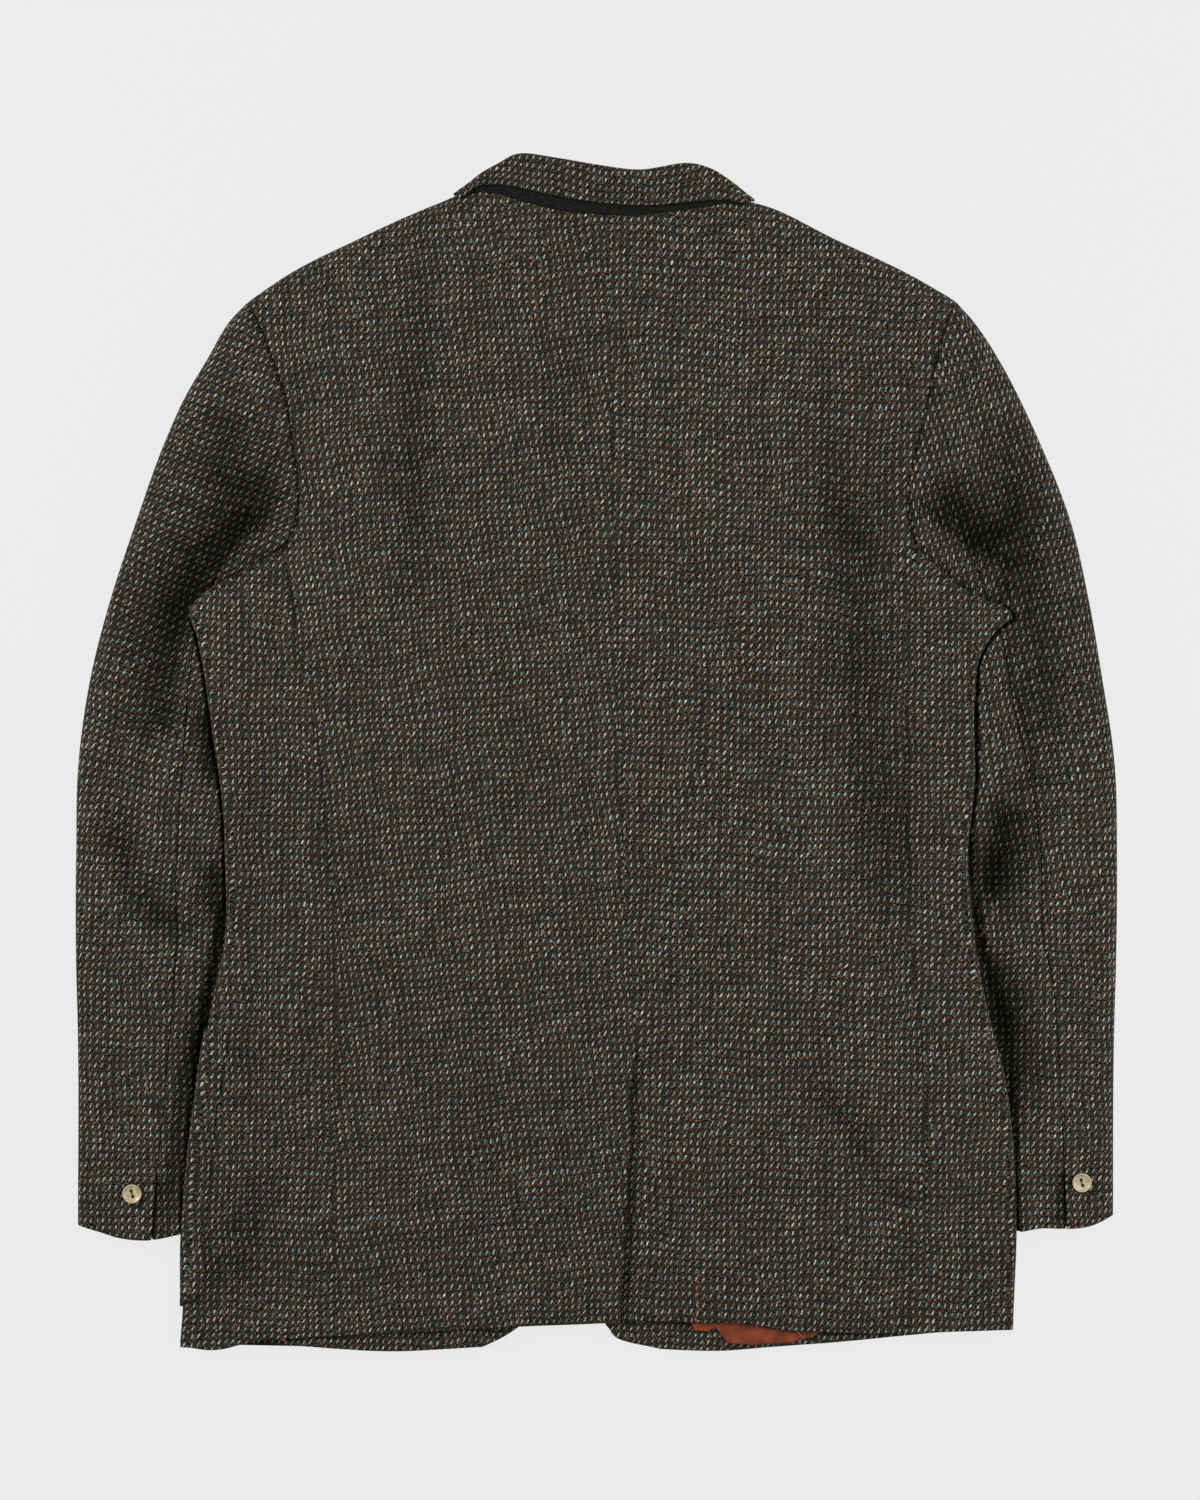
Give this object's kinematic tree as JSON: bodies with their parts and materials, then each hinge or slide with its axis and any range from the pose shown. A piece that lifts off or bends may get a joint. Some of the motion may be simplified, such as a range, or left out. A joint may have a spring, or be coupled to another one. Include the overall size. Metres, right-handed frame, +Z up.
{
  "type": "tweed hacking jacket",
  "caption": "Wool tweed jacket laid flat, back up: turned-up collar, long sleeves, centre vent, rear edges of two patch pockets and buttoned cuffs.",
  "frame": {"origin": "centre of the laid jacket's outline, on the surface it lies on", "axes": "+Y from hem to collar, +Z up out of the back, +X towards the wearer's right"},
  "size_m": [0.7304, 0.8394, 0.0349],
  "materials": {
    "tweed": "matt woven wool",
    "felt": "matt felt",
    "lining": "satin lining",
    "horn": "polished horn"
  },
  "bodies": {
    "root": {"back_left": "tweed", "back_right": "tweed", "side_left": "tweed", "side_right": "tweed", "front_left": "tweed", "front_right": "tweed", "lapel_left": "tweed", "lapel_right": "tweed", "top_sleeve_left": "tweed", "top_sleeve_right": "tweed", "under_sleeve_left": "tweed", "under_sleeve_right": "tweed", "collar": "tweed", "undercollar": "felt", "pocket_left": "tweed", "pocket_right": "tweed", "lining_hem": "lining", "cuff_button_left": "horn", "cuff_button_right": "horn", "front_button_1": "horn", "front_button_2": "horn", "front_button_3": "horn"}
  },
  "joints": []
}
